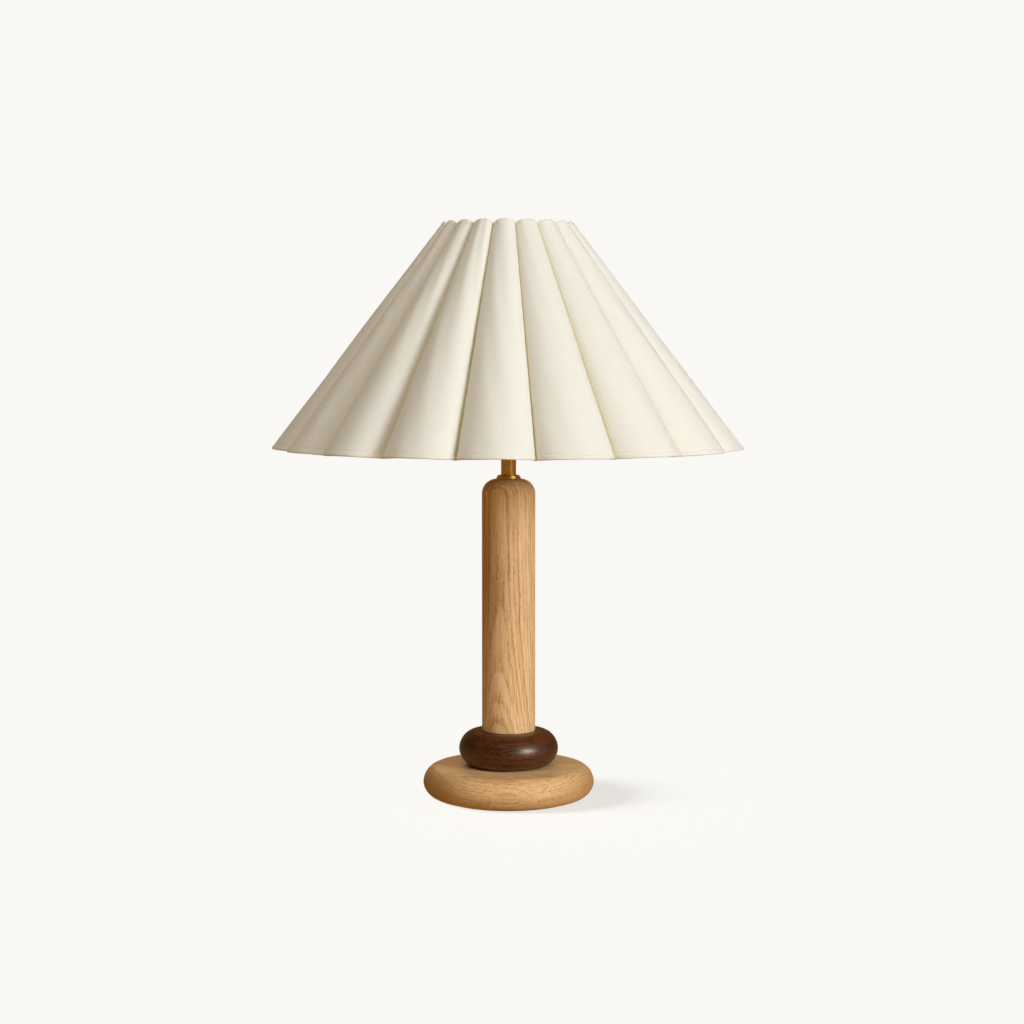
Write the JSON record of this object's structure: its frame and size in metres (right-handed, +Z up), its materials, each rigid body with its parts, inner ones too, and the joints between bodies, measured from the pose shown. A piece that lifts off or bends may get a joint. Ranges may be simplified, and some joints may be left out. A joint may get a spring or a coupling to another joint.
{
  "type": "table lamp",
  "caption": "Table lamp with a flared, pleated linen shade on a turned oak column, a walnut ring and a round oak base.",
  "frame": {"origin": "on the table, under the axis of the column", "axes": "+Z up along the column; -Y towards the front, where the picture was taken from; the cord inlet is at the rear, +Y; the switch knob is on the right, +X"},
  "size_m": [0.3948, 0.3972, 0.4885],
  "materials": {
    "oak": "turned oak, fine vertical grain, matt oiled finish",
    "walnut": "turned walnut, dark, satin oiled finish",
    "felt": "dark wool felt, glued on",
    "linen": "ivory linen weave laminated on a stiff backing, hems stitched",
    "brass": "aged brushed brass",
    "steel": "zinc plated steel",
    "cast_iron": "raw cast iron ballast",
    "porcelain": "white glazed porcelain",
    "black_plastic": "black moulded plastic",
    "white_plastic": "white moulded plastic",
    "opal_plastic": "opal diffuser",
    "bulb_metal": "nickel-plated bulb cap",
    "white_enamel": "white powder coat on steel wire"
  },
  "bodies": {
    "stand": {"felt_pad": "felt", "base_disc": "oak", "base_weight": "cast_iron", "weight_screws": "steel", "cord_bush": "black_plastic", "base_washer": "steel", "lock_washer": "steel", "base_nut": "steel", "threaded_tube": "steel", "walnut_ring": "walnut", "column": "oak", "brass_collar": "brass", "neck_tube": "brass", "holder_cap": "brass", "cap_grub_screw": "steel", "holder_skirt": "brass", "holder_insert": "porcelain", "terminal_screws": "brass", "screw_shell": "brass", "centre_contact": "brass", "switch_bush": "brass", "shade_ring_lower": "brass", "shade_ring_upper": "brass"},
    "switch": {"switch_spindle": "brass", "switch_cam": "black_plastic", "switch_knob": "black_plastic"},
    "bulb_carriage": {"bulb_contact": "bulb_metal"},
    "bulb": {"bulb_insulator": "black_plastic", "bulb_cap": "bulb_metal", "bulb_housing": "white_plastic", "bulb_dome": "opal_plastic"},
    "shade": {"carrier_ring": "white_enamel", "carrier_arms": "white_enamel", "shade_top_ring": "white_enamel", "shade_hem_ring": "white_enamel", "shade_cover": "linen"}
  },
  "joints": [
    {"name": "shade_turn", "type": "hinge", "parent": "stand", "child": "shade", "pos_m": [0, 0, 0.383], "axis": [0, 0, 1], "continuous": true},
    {"name": "switch_turn", "type": "hinge", "parent": "stand", "child": "switch", "pos_m": [0, 0, 0.347], "axis": [1, 0, 0], "continuous": true},
    {"name": "bulb_rise", "type": "slide", "parent": "stand", "child": "bulb_carriage", "axis": [0, 0, 1], "range_m": [0, 0.02178]},
    {"name": "bulb_unscrew", "type": "hinge", "parent": "bulb_carriage", "child": "bulb", "pos_m": [0, 0, 0.373], "axis": [0, 0, 1], "range_deg": [0, 2160]}
  ],
  "couplings": [
    {"joint": "bulb_rise", "follows": "bulb_unscrew", "m_per_rad": 0.0005775}
  ]
}
